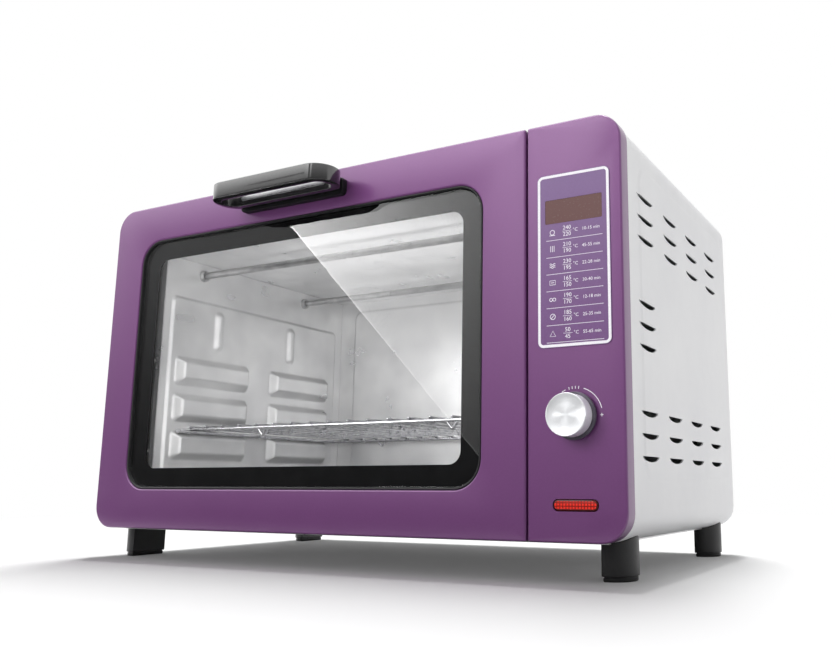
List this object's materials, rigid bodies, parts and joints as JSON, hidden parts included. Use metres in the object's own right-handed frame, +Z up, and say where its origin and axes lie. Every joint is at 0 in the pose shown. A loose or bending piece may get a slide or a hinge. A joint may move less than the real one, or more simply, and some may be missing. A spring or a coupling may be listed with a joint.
{
  "type": "electric oven",
  "caption": "Counter-top electric oven with a drop-down glass door, bow handle, wire rack, side louvres, and a control panel with display, push-and-turn knob and indicator lamp.",
  "frame": {"origin": "middle of the oven's outline seen from above, at the height of the surface that it stands on", "axes": "+X to the user's right, +Y from the door to the rear, +Z up"},
  "size_m": [0.5, 0.33, 0.3142],
  "materials": {
    "purple_paint": "satin metallic",
    "white_paint": "satin",
    "bright_steel": "rolled, bright",
    "wire_chrome": "polished",
    "heater_steel": "satin",
    "clear_glass": "polished",
    "black_rubber": "matt",
    "black_gloss": "gloss",
    "black_plastic": "fine texture",
    "bright_trim": "polished",
    "knob_aluminium": "turned",
    "overlay_film": "satin",
    "display_lens": "gloss",
    "red_lens": "gloss",
    "lamp_body": "gloss",
    "circuit_board": "satin",
    "dark_module": "satin",
    "gold_brass": "satin",
    "transformer_core": "varnished",
    "terminal_ceramic": "matt",
    "wire_cover": "satin"
  },
  "bodies": {
    "housing": {"control_fascia": "purple_paint", "outer_wrap": "white_paint", "rear_cover": "white_paint", "bottom_pan": "bright_steel", "front_frame": "bright_steel", "cavity_left_wall": "bright_steel", "cavity_right_wall": "bright_steel", "cavity_ceiling": "bright_steel", "cavity_floor": "bright_steel", "cavity_back_wall": "bright_steel", "heat_shield": "bright_steel", "heater_bracket_left": "bright_steel", "heater_bracket_right": "bright_steel", "hinge_bracket_left": "bright_steel", "hinge_bracket_right": "bright_steel", "hinge_pin_left": "heater_steel", "hinge_pin_right": "heater_steel", "hinge_spring_left": "heater_steel", "hinge_spring_right": "heater_steel", "upper_heater_front": "heater_steel", "upper_heater_rear": "heater_steel", "lower_heater_front": "heater_steel", "lower_heater_rear": "heater_steel", "temperature_probe": "heater_steel", "encoder_body": "heater_steel", "thermal_cutout": "dark_module", "display_overlay": "overlay_film", "display_lens": "display_lens", "indicator_lens": "red_lens", "indicator_lamp": "lamp_body", "control_board": "circuit_board", "power_board": "circuit_board", "display_module": "dark_module", "transformer": "transformer_core", "terminal_block": "terminal_ceramic", "cord_gland": "black_plastic", "wiring_harness": "wire_cover", "foot_front_left": "black_plastic", "foot_front_right": "black_plastic", "foot_rear_left": "black_plastic", "foot_rear_right": "black_plastic"},
    "door": {"door_outer_frame": "purple_paint", "window_seal": "black_rubber", "window_glass": "clear_glass", "window_gasket": "black_rubber", "door_inner_liner": "bright_steel", "door_hinge_ear_left": "bright_steel", "door_hinge_ear_right": "bright_steel", "handle_bow": "black_gloss", "handle_base": "black_gloss", "handle_strip": "bright_trim", "handle_screw_left": "heater_steel", "handle_screw_right": "heater_steel"},
    "rack": {"wire_rack": "wire_chrome"},
    "press_plunger": {"encoder_plunger": "gold_brass"},
    "knob": {"knob_cap": "knob_aluminium", "knob_skirt": "black_plastic", "encoder_shaft": "heater_steel"}
  },
  "joints": [
    {"name": "door_hinge", "type": "hinge", "parent": "housing", "child": "door", "pos_m": [-0.03595, -0.1162, 0.0292], "axis": [1, 0, 0], "range_deg": [0, 85]},
    {"name": "rack_slide", "type": "slide", "parent": "housing", "child": "rack", "axis": [0, -1, 0], "range_m": [0, 0.12]},
    {"name": "knob_press", "type": "slide", "parent": "housing", "child": "press_plunger", "axis": [0, 1, 0], "range_m": [0, 0.0015], "stiffness_N_per_m": 1200, "springref_m": -0.003},
    {"name": "knob_turn", "type": "hinge", "parent": "press_plunger", "child": "knob", "pos_m": [0.215, -0.1256, 0.1069], "axis": [0, -1, 0], "continuous": true}
  ],
  "couplings": [
    {"joint": "rack_slide", "follows": "door_hinge", "m_per_rad": 0.08}
  ]
}
